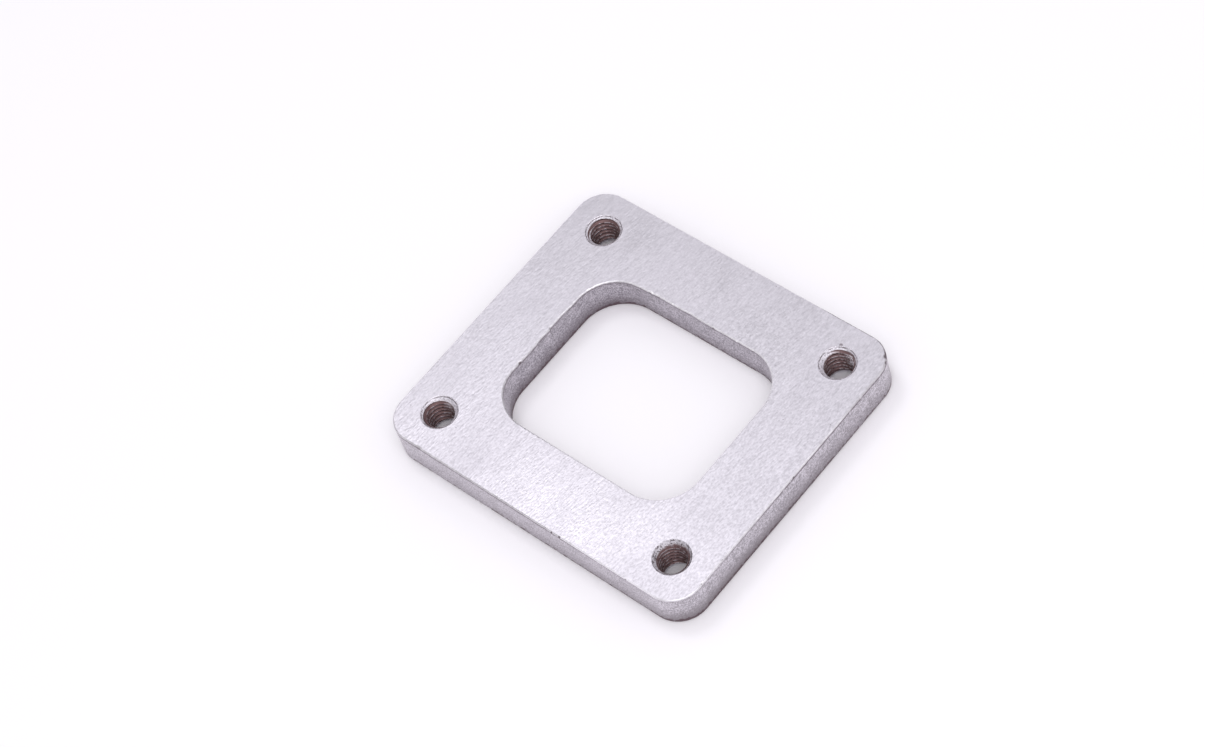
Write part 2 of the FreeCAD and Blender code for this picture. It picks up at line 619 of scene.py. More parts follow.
class Board:
    """A material's node tree, with one way of adding nodes."""

    def __init__(self, name: str) -> None:
        """Start a material with a surface shader and nothing wired to it.

        Args:
            name: the material's name.
        """
        self.material = bpy.data.materials.new(name)
        self.material.use_nodes = True
        self.tree = self.material.node_tree
        self.tree.nodes.clear()
        self.shader = self.add("ShaderNodeBsdfPrincipled", {}, {})
        self.add("ShaderNodeOutputMaterial", {}, {"Surface": self.shader.outputs["BSDF"]})
        self.place = self.add("ShaderNodeTexCoord", {}, {}).outputs["Object"]

    def add(self, kind: str, settings: dict, inputs: dict) -> bpy.types.Node:
        """Add a node.

        Args:
            kind: the node's type.
            settings: its own settings, which are set first.
            inputs: for each socket, by name or number, a value, a Signal or another socket.

        Returns:
            The node.
        """
        node = self.tree.nodes.new(kind)
        for name, value in settings.items():
            setattr(node, name, value)
        for name, value in inputs.items():
            self.feed(node.inputs[name], value)
        return node

    def feed(self, target: Socket, value: object) -> None:
        """Feed an input socket.

        Args:
            target: the socket.
            value: a Signal or another socket, which is linked, or a number, vector or colour.
        """
        if isinstance(value, Signal):
            value = value.socket
        if isinstance(value, Socket):
            self.tree.links.new(value, target)
        else:
            target.default_value = (*value, 1.0) if target.type == "RGBA" else value

    def cells(self, cell: Place, shift: Place = (0.0, 0.0, 0.0)) -> Socket:
        """The place on the object, counted in cells.

        Args:
            cell: size of a cell, in millimetres.
            shift: moves the count, in cells.

        Returns:
            The place's socket.
        """
        scale = tuple(1 / (size * MM) for size in cell)
        inputs = {"Vector": self.place, "Scale": scale, "Location": shift}
        return self.add("ShaderNodeMapping", {}, inputs).outputs[0]

    def noise(self, grain: Grain) -> Signal:
        """A grain's noise, from about -0.5 to 0.5."""
        inputs = {"Vector": self.cells(grain.cell, grain.shift), "Scale": 1.0,
                  "Detail": grain.detail, "Roughness": grain.rough}
        return Signal(self, self.add("ShaderNodeTexNoise", {}, inputs).outputs["Fac"]) - 0.5

    def blend(self, mask: Term, low: object, high: object) -> Socket:
        """Mix two colours, each three numbers or a socket, by a number from 0 to 1."""
        node = self.add("ShaderNodeMix", {"data_type": "RGBA"}, {0: mask, 6: low, 7: high})
        return node.outputs[2]

    def along(self, axis: str) -> Signal:
        """The place on an axis, X, Y or Z, in metres; on Z it is the height above the underside."""
        parts = self.add("ShaderNodeSeparateXYZ", {}, {"Vector": self.place})
        return Signal(self, parts.outputs[axis])

    def measure(self, name: str) -> Signal:
        """A measure that the mesh's points carry."""
        node = self.add("ShaderNodeAttribute", {"attribute_name": name}, {})
        return Signal(self, node.outputs["Fac"])

    def distance(self, place: Place) -> Signal:
        """Measure the distance from a place.

        Args:
            place: in metres.

        Returns:
            The distance, in metres.
        """
        inputs = {0: self.place, 1: place}
        node = self.add("ShaderNodeVectorMath", {"operation": "DISTANCE"}, inputs)
        return Signal(self, node.outputs["Value"])

    def bump(self, height: Signal, depth: float) -> Socket:
        """Turn a height from 0 to 1 into a bent normal; depth is its full height in metres."""
        inputs = {"Height": height, "Distance": depth, "Strength": 1.0}
        return self.add("ShaderNodeBump", {}, inputs).outputs["Normal"]

    def surface(self, **sockets: object) -> Material:
        """Set the surface shader's sockets, with _ for a space in a name, and finish."""
        for name, value in sockets.items():
            self.feed(self.shader.inputs[name.replace("_", " ")], value)
        return self.material


@dataclass(frozen=True)
class Fringe:
    """A soft border across a measure, such as the height, that noise can make uneven.

    Attributes:
        low: the measure at which it starts, in millimetres.
        high: the measure at which it ends.
        sway: how far noise of strength 1 moves it.
    """

    low: float
    high: float
    sway: float = 0.0

    def above(self, measure: Signal, noise: Signal | None = None) -> Signal:
        """A mask that is 0 under the border and 1 over it.

        Args:
            measure: in metres.
            noise: makes the border uneven.

        Returns:
            The mask.
        """
        if noise is not None:
            measure = measure + self.sway * MM * noise
        return measure.above(self.low * MM, self.high * MM)

    def below(self, measure: Signal, noise: Signal | None = None) -> Signal:
        """A mask that is 1 under the border and 0 over it."""
        return 1 - self.above(measure, noise)


@dataclass(frozen=True)
class Specks:
    """Small round spots, strewn at random.

    Attributes:
        cell: size of the cells, each of which may hold one, in millimetres.
        reach: radius of a spot, in millimetres.
        share: how many of the cells hold one.
    """

    cell: float
    reach: float
    share: float

    SOFT = 0.3  # share of the radius over which a spot's rim fades, each way
    DRAW_STEP = 0.01  # width of the step in the random number that picks a cell

    def mask(self, board: Board) -> Signal:
        """Draw a spot round the point of each cell whose random number is high enough.

        Args:
            board: the node tree.

        Returns:
            A mask that is 1 on the spots and 0 between them.
        """
        inputs = {"Vector": board.cells((self.cell,) * 3), "Scale": 1.0}
        node = board.add("ShaderNodeTexVoronoi", {}, inputs)
        draw = board.add("ShaderNodeSeparateColor", {}, {"Color": node.outputs["Color"]})
        reach, least = self.reach / self.cell, 1.0 - self.share
        away = Signal(board, node.outputs["Distance"])
        near = 1 - away.above((1 - self.SOFT) * reach, (1 + self.SOFT) * reach)
        return near * Signal(board, draw.outputs["Red"]).above(least - self.DRAW_STEP, least)


@dataclass(frozen=True)
class Mark:
    """A small spot of its own, such as a chip out of an edge or a pit in a face.

    Attributes:
        x, y, z: its middle, in millimetres.
        reach: radius of its full strength, in millimetres; it fades out over as much again.
        strength: of its mask, up to 1.
    """

    x: float
    y: float
    z: float
    reach: float
    strength: float = 1.0

    def mask(self, board: Board) -> Signal:
        """The spot's strength on it and 0 away from it."""
        away = board.distance((self.x * MM, self.y * MM, self.z * MM))
        return self.strength * Fringe(self.reach, 2 * self.reach).below(away)


def marked(board: Board, marks: tuple[Mark, ...], base: Term) -> Term:
    """Add the masks of marks to a mask, or to a number."""
    return sum((mark.mask(board) for mark in marks), base)


@dataclass(frozen=True)
class GroundSteel:
    """A face ground on a belt: fine straight grain along Y over bare steel.

    Attributes:
        dull: colour of the steel between the bright strokes.
        bright: colour of the strokes.
        pit: colour of the pits and spots.
        pits: pits strewn over the face.
        marks: pits and spots of their own.
    """

    dull: Colour = (0.50, 0.476, 0.532)
    bright: Colour = (0.68, 0.650, 0.722)
    pit: Colour = (0.20, 0.17, 0.19)
    pits: Specks = Specks(3.4, 0.10, 0.55)
    marks: tuple[Mark, ...] = ()

    STROKES = Grain((0.42, 1.6, 0.42), rough=0.6)
    MOTTLE = Grain((0.45, 0.75, 0.45), (3, 1, 9))
    BANDS = Grain((1.6, 12, 1.6), (4, 2, 0))  # faint bands that the belt leaves
    CLOUDS = Grain((14, 20, 14), (1, 5, 2), detail=3.0)
    # painted sheen: the grain's colour contrast grows towards +X and -Y, standing in for the
    # highlight that shows the grain more there
    LEAN = (180 * MM, 85 * MM)  # this far towards +X or -Y, strokes and mottle are twice as strong
    # a base, followed by the weights
    TONE = (0.5, 1.85, 1.4, 0.6, 0.3)  # of the four noises in the colour
    GLOSS = (0.42, 0.25, 0.3)  # of strokes and clouds in the roughness
    RELIEF = (0.5, 1.0, 0.4, -0.5)  # of strokes, mottle and pits in the bump
    RELIEF_DEPTH = 0.05 * MM
    PIT_STRENGTH = 0.8

    def material(self) -> Material:
        """Blend two colours by the noises and lay the pits over them.

        Returns:
            The material.
        """
        board = Board("ground_steel")
        strokes, mottle, bands, clouds = map(
            board.noise, (self.STROKES, self.MOTTLE, self.BANDS, self.CLOUDS)
        )
        # painted sheen: stronger grain contrast where the lights' highlight falls
        lean = 1 + board.along("X") / self.LEAN[0] - board.along("Y") / self.LEAN[1]
        tone = weigh(self.TONE, lean * strokes, lean * mottle, bands, clouds)
        pits = marked(board, self.marks, self.pits.mask(board))
        colour = board.blend(tone.clamp(), self.dull, self.bright)
        return board.surface(
            Base_Color=board.blend(self.PIT_STRENGTH * pits.clamp(), colour, self.pit),
            Metallic=1.0,
            Roughness=weigh(self.GLOSS, strokes, clouds),
            Normal=board.bump(weigh(self.RELIEF, strokes, mottle, pits), self.RELIEF_DEPTH),
        )


@dataclass(frozen=True)
class LaserCut:
    """A wall left by the laser: dull, a little striped, darker towards the underside: the cut's
    rougher lower zone and painted shade of the floor's contact shadow.

    Attributes:
        name: the material's name.
        thickness: height of the plate.
        dark: darker colour of the plain wall.
        light: lighter colour of the plain wall.
        low: colour that the wall turns to towards the underside, which is painted shade of the
            floor's contact shadow over the cut's own darker lower zone.
        foot_shade_share: how far it does so there, where X + Y is under zero and where it is over.
        foot_shade_corner: between these values of X - Y that share grows from CORNER_SHARE to all.
        foot_shade_border: the height at which that colour gives way to the plain wall.
        burnt: colour of the burr along the underside, which reaches higher where the painted shade
            at the foot is deepest.
        line: colour of the thin line of painted shade under the top edge, of the painted shade on
            the broken edge, and of the spots.
        shade_line_share: strength of that line.
        line_fade_corner: between these values of X - Y it fades to WORN_SHARE.
        lip: colour of the broken edge where the grinding has cleaned it, and of the painted glints.
        lip_clean_and_lit: how clean and bright it is towards -X and -Y, in the middle and towards
            +X and +Y, which is partly painted highlight and shade, after how the lights catch each
            stretch.
        spots: dark spots strewn along that edge.
        marks: dark spots of their own.
        tarnish_and_shade: places where the broken edge is darkened, as painted shade of the darker
            reflection it shows there.
        painted_glints: painted glints, bright spots on the edge that don't shine as metal does.
        seam: where on Y the cut was closed, on the side where X + Y is under zero.
    """

    name: str
    thickness: float
    dark: Colour = (0.35, 0.326, 0.355)
    light: Colour = (0.74, 0.704, 0.757)
    low: Colour = (0.28, 0.25, 0.27)
    foot_shade_share: Span = (0.45, 1.07)
    foot_shade_corner: Span | None = None
    foot_shade_border: Fringe = Fringe(0.0, 6.65, 1.2)
    burnt: Colour = (0.14, 0.09, 0.105)
    line: Colour = (0.20, 0.17, 0.19)
    shade_line_share: float = 0.9
    line_fade_corner: Span | None = None
    lip: Colour = (0.95, 0.92, 0.98)
    lip_clean_and_lit: tuple[float, float, float] = (0.55, 1.15, 0.7)
    spots: Specks = Specks(1.6, 0.18, 0.4)
    marks: tuple[Mark, ...] = ()
    tarnish_and_shade: tuple[Mark, ...] = ()
    painted_glints: tuple[Mark, ...] = ()
    seam: float | None = None

    DRAG = Grain((0.4, 0.4, 1.4), (2, 8, 1))  # streaks down the wall
    LAYERS = Grain((2.4, 2.4, 0.35), (5, 2, 1), detail=1.0)  # bands along it
    MOTTLE = Grain((0.32, 0.32, 0.36), (6, 6, 1), detail=1.0)
    CLOUDS = Grain((2.6, 2.6, 4.0), (7, 3, 2), detail=1.0)
    RAGGED = Grain((1.1, 1.1, 1.1), (9, 4, 3), detail=3.0)  # makes the borders uneven
    # a base, followed by the weights
    TONE = (0.5, 0.7, 1.1, 3.0, 0.25)  # of the first four noises in the colour
    RELIEF = (0.5, 0.4, 0.5, 0.7)  # of the first three in the bump
    GLOSS = (0.45, 0.2)  # of the mottle in the roughness
    RELIEF_DEPTH = 0.025 * MM
    # borders in X + Y
    SIDES = Fringe(-8, 8)  # between the walls on its two sides
    CLEANER_AND_LIT = Fringe(-36, -20)  # past it the broken edge is cleaner and brighter, partly painted highlight
    # borders in height, from the underside and then from the top face
    BURR = Fringe(0.1, 0.7, -3.2)
    BURR_SHADE_GROWTH = 0.6 * MM  # how much higher the burr reaches where the painted shade at the foot is deepest
    SHADE_LINE = Fringe(-0.95, -0.7, 0.6)
    SPOTS = Fringe(-0.5, 0.0)
    LIP = Fringe(-0.34, -0.26, 0.1)
    SEAM = Fringe(0.06, 0.22, 0.3)  # border of the seam's line, on both sides of its middle
    # where ragged noise is over these values, the line of painted shade and the painted shade on
    # the broken edge aren't broken
    SHADE_LINE_GAPS = (-0.22, -0.05)
    EDGE_SHADE_GAPS = (-0.15, 0.0)
    LIP_GAPS = 0.9  # weight of that noise in how clean the broken edge is
    CORNER_SHARE, WORN_SHARE = 0.4, 0.2
    BURR_STRENGTH, TARNISH_STRENGTH, SEAM_STRENGTH = 0.85, 0.8, 0.35  # 1 hides what is under it

    def material(self) -> Material:
        """Blend the plain wall's two colours and lay the others over them, from the foot up.

        Returns:
            The material.
        """
        board = Board(self.name)
        x, y, height = (board.along(axis) for axis in "XYZ")
        across, reached, from_top = x + y, x - y, height - self.thickness
        drag, layers, mottle, clouds, ragged = map(
            board.noise, (self.DRAG, self.LAYERS, self.MOTTLE, self.CLOUDS, self.RAGGED)
        )
        tone = weigh(self.TONE, drag, layers, mottle, clouds)
        colour = board.blend(tone.clamp(), self.dark, self.light)

        side = self.SIDES.above(across)
        # painted shade at the foot: deeper where X + Y is over zero, and towards the corner at +X
        # and -Y
        share = side.between(*self.foot_shade_share)
        if self.foot_shade_corner is not None:
            share = share * reached.above(*self.foot_shade_corner).between(self.CORNER_SHARE, 1)
        colour = board.blend(share * self.foot_shade_border.below(height, mottle), colour, self.low)
        burr = self.BURR.below(height - self.BURR_SHADE_GROWTH * share, ragged)
        colour = board.blend(self.BURR_STRENGTH * burr, colour, self.burnt)

        # painted shade: a thin dark line under the broken top edge, fading towards the corner at +X
        # and -Y
        line = self.SHADE_LINE.above(from_top, ragged) * ragged.above(*self.SHADE_LINE_GAPS)
        if self.line_fade_corner is not None:
            line = line * reached.above(*self.line_fade_corner).between(1, self.WORN_SHARE)
        colour = board.blend(self.shade_line_share * line, colour, self.line)

        lip = self.LIP.above(from_top, ragged)
        # partly painted highlight and shade: how bright the broken edge is changes along it with
        # how the lights catch it
        first, middle, last = self.lip_clean_and_lit
        clean_and_lit = self.CLEANER_AND_LIT.above(across).between(first, middle) + (last - middle) * side
        clean_and_lit = (clean_and_lit + self.LIP_GAPS * ragged).clamp()
        colour = board.blend(lip, colour, board.blend(clean_and_lit, self.dark, self.lip))
        # painted shade: the broken edge darkened at the given places
        edge_shade = self.TARNISH_STRENGTH * lip * ragged.above(*self.EDGE_SHADE_GAPS)
        for mark in self.tarnish_and_shade:
            colour = board.blend(edge_shade * mark.mask(board), colour, self.line)

        spots = self.spots.mask(board) * self.SPOTS.above(from_top)
        spots = marked(board, self.marks, spots)
        if self.seam is not None:
            apart = abs(y - self.seam + self.SEAM.sway * MM * ragged)
            spots = spots + self.SEAM_STRENGTH * (1 - side) * self.SEAM.below(apart)
        colour = board.blend(spots.clamp(), colour, self.line)
        # painted glints: bright spots that aren't metal, on the port's top edge
        painted_glints = marked(board, self.painted_glints, 0.0)
        return board.surface(
            Base_Color=board.blend(painted_glints, colour, self.lip),
            Metallic=1 - painted_glints,
            Roughness=weigh(self.GLOSS, mottle),
            Normal=board.bump(weigh(self.RELIEF, drag, layers, mottle), self.RELIEF_DEPTH),
        )


@dataclass(frozen=True)
class TappedSteel:
    """The inside of a hole: a thread dark with oil and painted shade, with brighter crests, and a
    bare countersink.

    Attributes:
        crest: distance from the axis up to which the thread's crests reach.
        sink: distance from the axis at which the countersink meets the face.
        thickness: height of the plate.
        oiled_and_shaded: darker and lighter colour of the thread, which is oil and painted shade
            for the deep bore.
        burnished_and_lit: colour of the crests where the tap has rubbed them, which is also painted
            highlight along the crests.
        bare: darker and lighter colour of the countersink.
        burr: colour of the broken dark line round the countersink, partly a burr and partly painted
            shade, and of the duller countersinks.
        painted_highlights: places where the thread is painted bright in streaks, as painted
            highlight where it catches the light.
        tarnish_and_shade: holes whose countersink is duller.
    """

    crest: float
    sink: float
    thickness: float
    oiled_and_shaded: tuple[Colour, Colour] = ((0.15, 0.088, 0.09), (0.24, 0.16, 0.166))
    burnished_and_lit: Colour = (0.58, 0.52, 0.57)
    bare: tuple[Colour, Colour] = ((0.36, 0.335, 0.38), (0.96, 0.92, 1.0))
    burr: Colour = (0.16, 0.13, 0.15)
    painted_highlights: tuple[Mark, ...] = ()
    tarnish_and_shade: tuple[Mark, ...] = ()

    RINGS = Grain((2, 2, 0.12), (4, 4, 4))  # rings round the axis
    MOTTLE = Grain((0.35, 0.35, 0.35), (1, 2, 3))
    BROKEN = Grain((0.9, 0.9, 0.9), (8, 3, 5), detail=3.0)  # makes the borders uneven
    # a base, followed by the weights
    OILED = (0.5, 0.8, 1.6)  # of rings and mottle in the thread's colour
    STREAKS = (0.5, 3.0, 3.0)  # of the same in the streaks of painted highlight
    RELIEF = (0.5, 0.6, 0.6)  # of the same in the bump
    METAL = (0.8, 2.2, 1.2)  # of mottle and broken noise in the countersink's colour
    WORN = (0.22, 4.5, 3.0)  # of the same where it is duller
    CRESTS = (0.0, 1.0, 0.5)  # of broken noise and mottle in where the crests are rubbed
    GLOSS = (0.55, 0.2)  # of the mottle in the roughness
    RELIEF_DEPTH = 0.03 * MM
    CREST = Fringe(0.05, 0.15)  # a border past the crests
    BARED = Fringe(-0.4, 0.15, 0.6)  # at the edge of the bore's dark part of oil and painted shade
    CONE = Fringe(0.02, 0.12)  # into the thread from the countersink's cone
    RING_INNER = Fringe(-0.36, -0.28, 0.3)  # in from the countersink's rim
    RING_OUTER = Fringe(-0.18, -0.10, 0.3)
    # where broken noise is over these values, crests are made brighter and the ring isn't broken
    CREST_GAPS = (-0.03, 0.08)
    RING_GAPS = (-0.1, 0.02)
    CREST_STRENGTH, RING_STRENGTH = 0.7, 0.8

    def material(self) -> Material:
        """Blend the thread's colours and the countersink's, and part the two at the cone's foot.

        Returns:
            The material.
        """
        board = Board("tapped_steel")
        from_axis, outside = board.measure(FROM_AXIS), board.measure(OUTSIDE_TAP)
        rings, mottle, broken = map(board.noise, (self.RINGS, self.MOTTLE, self.BROKEN))
        # oil and painted shade: the thread's dark colour stands in for the shade deep in the bore
        colour = board.blend(weigh(self.OILED, rings, mottle).clamp(), *self.oiled_and_shaded)
        # partly painted highlight: the crests made brighter, as rubbed metal and as the light they
        # catch
        crests = weigh(self.CRESTS, broken, mottle).above(*self.CREST_GAPS)
        crests = self.CREST.below(from_axis - self.crest) * crests
        colour = board.blend(self.CREST_STRENGTH * crests, colour, self.burnished_and_lit)
        # painted highlight: bright streaks on the thread at the given places
        streaks = weigh(self.STREAKS, rings, mottle).clamp()
        for mark in self.painted_highlights:
            colour = board.blend(streaks * mark.mask(board), colour, self.bare[1])

        half = self.thickness / 2
        past_cone = from_axis - (abs(board.along("Z") - half) + (self.sink - half))
        bared = self.BARED.above(outside, broken) * self.CONE.below(past_cone)
        metal = board.blend(weigh(self.METAL, mottle, broken).clamp(), *self.bare)
        # partly painted shade: a broken dark ring just inside the countersink's rim
        from_rim = from_axis - self.sink
        ring = self.RING_INNER.above(from_rim, broken) * self.RING_OUTER.below(from_rim, broken)
        ring = self.RING_STRENGTH * ring * broken.above(*self.RING_GAPS)
        metal = board.blend(ring, metal, self.burr)
        worn = weigh(self.WORN, mottle, broken).clamp()
        for mark in self.tarnish_and_shade:
            metal = board.blend(worn * mark.mask(board), metal, self.burr)
        return board.surface(
            Base_Color=board.blend(bared, colour, metal),
            Metallic=1.0,
            Roughness=weigh(self.GLOSS, mottle),
            Normal=board.bump(weigh(self.RELIEF, rings, mottle), self.RELIEF_DEPTH),
        )


@dataclass
class Flange:
    """The whole flange: two ground faces, two cut walls and four tapped holes.

    Attributes:
        length: size along X.
        width: size along Y.
        thickness: size along Z.
        spacing: distance between hole centres along X and Y.
        drill: diameter of the tap drill.
        corner_radius: radius of the plate's corners.
        port_length: size of the port along X.
        port_width: size of the port along Y.
        port_radius: radius of the port's corners.
        thread: nominal diameter of the tapped holes.
        sink: diameter of the countersinks.
        edge: width of the broken edges.
        seam: where on Y the port's cut was closed, on its wall towards -X.
        step: distance between columns of the walls.
    """

    length: float
    width: float
    thickness: float
    spacing: Span
    drill: float
    corner_radius: float = 7.5 * MM
    port_length: float = 55.3 * MM
    port_width: float = 44.6 * MM
    port_radius: float = 11.0 * MM
    thread: float = 8.0 * MM
    sink: float = 9.2 * MM
    edge: float = 0.3 * MM
    seam: float = 1.6 * MM
    step: float = 0.4 * MM

    FACE_STEPS = 9  # rows of a strip of a face, besides those on its edges
    SUPPORT_SHARE = 0.008  # how far a face's first row lies from its edge, as a share of the strip
    LOOPS = (0.3, 0.6, 0.85)  # further rows of a corner field, from its border to the hole's rim

    @classmethod
    def from_frame(cls) -> "Flange":
        """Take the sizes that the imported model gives: its box and its bolt pattern.

        Returns:
            The flange, with its other sizes as they stand.
        """
        low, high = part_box(NODE)
        pattern = next(m for m in frame["record"]["mounts"] if m["kind"] == "bolt_pattern")["dims"]
        return cls(
            length=high.x - low.x,
            width=high.y - low.y,
            thickness=high.z - low.z,
            spacing=(pattern["spacing_x_mm"] * MM, pattern["spacing_y_mm"] * MM),
            drill=2 * pattern["hole_r_mm"] * MM,
        )

    @property
    def outline(self) -> RoundedRectangle:
        """The plate's outside, seen from above."""
        return RoundedRectangle(self.length, self.width, self.corner_radius)

    @property
    def port(self) -> RoundedRectangle:
        """The port, seen from above."""
        return RoundedRectangle(self.port_length, self.port_width, self.port_radius)

    def walls(self) -> tuple[CutWall, CutWall]:
        """Lay out both cut walls, with their broken edges and nicks.

        Returns:
            The outside wall and the port's wall.
        """
        half_x, half_y = self.length / 2 / MM, self.width / 2 / MM
        port_x, port_y = self.port_length / 2 / MM, self.port_width / 2 / MM
        outer_nicks = (
            Dent(half_x - 1.0, half_y - 2.6, 0.7, 0.45),
            Dent(half_x - 0.1, half_y - 4.6, 0.5, 0.35),
            Dent(-32.7, -half_y, 0.8, 0.25),
            Dent(half_x, -31.6, 0.7, 0.25),
            Dent(29.5, -half_y, 8.0, -0.14),
        )
        port_nicks = (
            Dent(-14.0, port_y, 0.6, 0.2),
            Dent(-11.5, port_y, 0.4, 0.15),
            Dent(-port_x, -9.4, 0.6, 0.25),
        )
        outside = CutWall(
            self.outline, into_metal=-1, thickness=self.thickness,
            edges={
                Face.TOP: BrokenEdge(self.edge, 0.22, (40, 320), 11, outer_nicks),
                Face.UNDER: BrokenEdge(self.edge, 0.15, (30, 260), 12),
            },
            drag_waves=(150, 320), lag=2.0 * MM, seed=13,
        )
        inside = CutWall(
            self.port, into_metal=1, thickness=self.thickness,
            edges={
                Face.TOP: BrokenEdge(self.edge, 0.35, (30, 200), 21, port_nicks),
                Face.UNDER: BrokenEdge(self.edge, 0.2, (30, 160), 22),
            },
            drag_waves=(80, 180), lag=-2.0 * MM, seed=23,
            strays=(
                Dent(-17.5, port_y, 4.0, -0.35),
                Dent(-2.2, port_y, 1.5, 0.2),
                Dent(-port_x, -1.5, 1.8, 0.25),
                Dent(-26.0, -15.0, 5.0, 0.25),
            ),
            seam=Seam(2 * self.port.quarter - self.seam, 0.32 * MM, 8.0 * MM),
        )
        return outside, inside

    def holes(self) -> list[TappedHole]:
        """Lay out the tapped holes.

        Returns:
            Four holes, in the order of the corner stretches of the paths.
        """
        half_x, half_y = self.spacing[0] / 2, self.spacing[1] / 2
        # where each hole is, and the bared circle's radius and shift in millimetres
        taps = (
            (half_x, half_y, 3.75, 0.25, 0.30),
            (-half_x, half_y, 3.70, 0.15, 0.20),
            (-half_x, -half_y, 3.75, -0.25, -0.25),
            (half_x, -half_y, 3.82, 0.06, 0.14),
        )
        return [
            TappedHole((x, y), self.thread, self.thread - self.drill, self.drill, self.sink,
                       bared * MM, (shift_x * MM, shift_y * MM), self.thickness)
            for x, y, bared, shift_x, shift_y in taps
        ]

    def stations(self, path: RoundedRectangle) -> list[np.ndarray]:
        """Distances along a path where its columns stand, for each of its eight stretches.

        A stretch has a column for each step of its length. A side stretch is as long on the
        outline as on the port, so that a strip's two ends match.

        Args:
            path: the outline or the port.

        Returns:
            The distances, one array for each stretch.
        """
        cut_x = self.port_length / 2 - self.port_radius
        cut_y = self.port_width / 2 - self.port_radius
        return [
            np.linspace(start, end, math.ceil((end - start) / self.step) + 1)
            for start, end in path.cuts(cut_x, cut_y)
        ]

    def strip_shares(self) -> np.ndarray:
        """Where a face's rows lie between the port and the outline, from 0 to 1."""
        inner = np.linspace(self.SUPPORT_SHARE, 1 - self.SUPPORT_SHARE, self.FACE_STEPS)
        return np.concatenate([[0.0], inner, [1.0]])

    def surface(self) -> Sheets:
        """Work out every surface of the flange.

        The walls are grids round their paths. Each face is four flat strips beside the port's
        sides and four corner fields. A strip's rows run straight from the port's edge to the
        outline's. A corner field's rows are loops that shrink, along straight rays, from its
        four sided border to the rim of its hole, at the angles at which the hole's centre sees
        the border. The bore's columns stand at the same angles.

        Returns:
            The grids, ready to weld.
        """
        sheets = Sheets()
        outside, inside = self.walls()
        outer_stations, port_stations = self.stations(self.outline), self.stations(self.port)
        outer_rows = [outside.rows(along) for along in outer_stations]
        port_rows = [inside.rows(along) for along in port_stations]
        for rows in outer_rows:
            sheets.add(rows, Finish.CUT)
        for rows in port_rows:
            sheets.add(rows, Finish.PORT_CUT, flip=True)

        shares = self.strip_shares()[:, None, None]
        for face in Face:
            for port, outer in zip(port_rows[1::2], outer_rows[1::2]):
                strip = port[face.value] + (outer[face.value] - port[face.value]) * shares
                sheets.add(strip, Finish.GROUND, flip=face is Face.UNDER)

        shrink = np.array([0, self.SUPPORT_SHARE, *self.LOOPS, 1])[:, None, None]
        corners = zip(outer_stations[::2], port_stations[::2], outer_rows[::2], port_rows[::2])
        for hole, (outer_along, port_along, outer, port) in zip(self.holes(), corners):
            angles = self.corner_angles(hole, outer_along, port_along)
            for face in Face:
                border = self.corner_border(outer[face.value], port[face.value])
                loops = border + (hole.rim(angles, face) - border) * shrink
                sheets.add(loops, Finish.GROUND, flip=face is Face.TOP)
            sheets.add(hole.rows(angles), Finish.TAPPED, flip=True)
        return sheets

    def corner_border(self, outer: np.ndarray, port: np.ndarray) -> np.ndarray:
        """The closed border of a corner field, anticlockwise, with its first point repeated.

        Args:
            outer: points along the outline.
            port: points along the port.

        Returns:
            The points along the outline, in to the port, back along it and out again.
        """
        shares = self.strip_shares()[1:-1, None]
        inward = port[-1] + (outer[-1] - port[-1]) * shares[::-1]
        outward = port[0] + (outer[0] - port[0]) * shares
        return np.concatenate([outer, inward, port[::-1], outward, outer[:1]])

    def corner_angles(
        self, hole: TappedHole, outer_along: np.ndarray, port_along: np.ndarray
    ) -> np.ndarray:
        """Angles at which a hole's centre sees its corner field's border, without broken edges.

        Args:
            hole: the hole in the field.
            outer_along: where the field's columns stand along the outline.
            port_along: where they stand along the port.

        Returns:
            The angles, which rise all the way.
        """
        outer, _ = self.outline.at(outer_along)
        port, _ = self.port.at(port_along)
        seen = self.corner_border(outer, port) - np.array(hole.centre)
        angles = np.unwrap(np.arctan2(seen[:, 1], seen[:, 0]))
        if (np.diff(angles) <= 0).any():
            raise ValueError("a corner field folds over itself")
        return angles

    def build(self) -> Object:
        """Make the flange's mesh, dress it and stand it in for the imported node.

        Returns:
            The finished piece.
        """
        piece = self.surface().weld(PIECE)
        self.measure_holes(piece.data)
        for finish in self.finishes():
            piece.data.materials.append(finish.material())
        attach(piece, "root")
        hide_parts(NODE)
        mesh = piece.data
        log.info("%s: %d points, %d faces", PIECE, len(mesh.vertices), len(mesh.polygons))
        return piece

    def measure_holes(self, mesh: bpy.types.Mesh) -> None:
        """Give each point its distances from the axis and the tap of the nearest hole.

        Args:
            mesh: the flange's mesh, to which two attributes are added.
        """
        points = np.empty(3 * len(mesh.vertices))
        mesh.vertices.foreach_get("co", points)
        measures = np.array([hole.measure(points.reshape(-1, 3)) for hole in self.holes()])
        nearest = measures[:, 0].argmin(axis=0)
        for name, values in ((FROM_AXIS, measures[:, 0]), (OUTSIDE_TAP, measures[:, 1])):
            attribute = mesh.attributes.new(name, "FLOAT", "POINT")
            attribute.data.foreach_set("value", values[nearest, np.arange(len(nearest))])

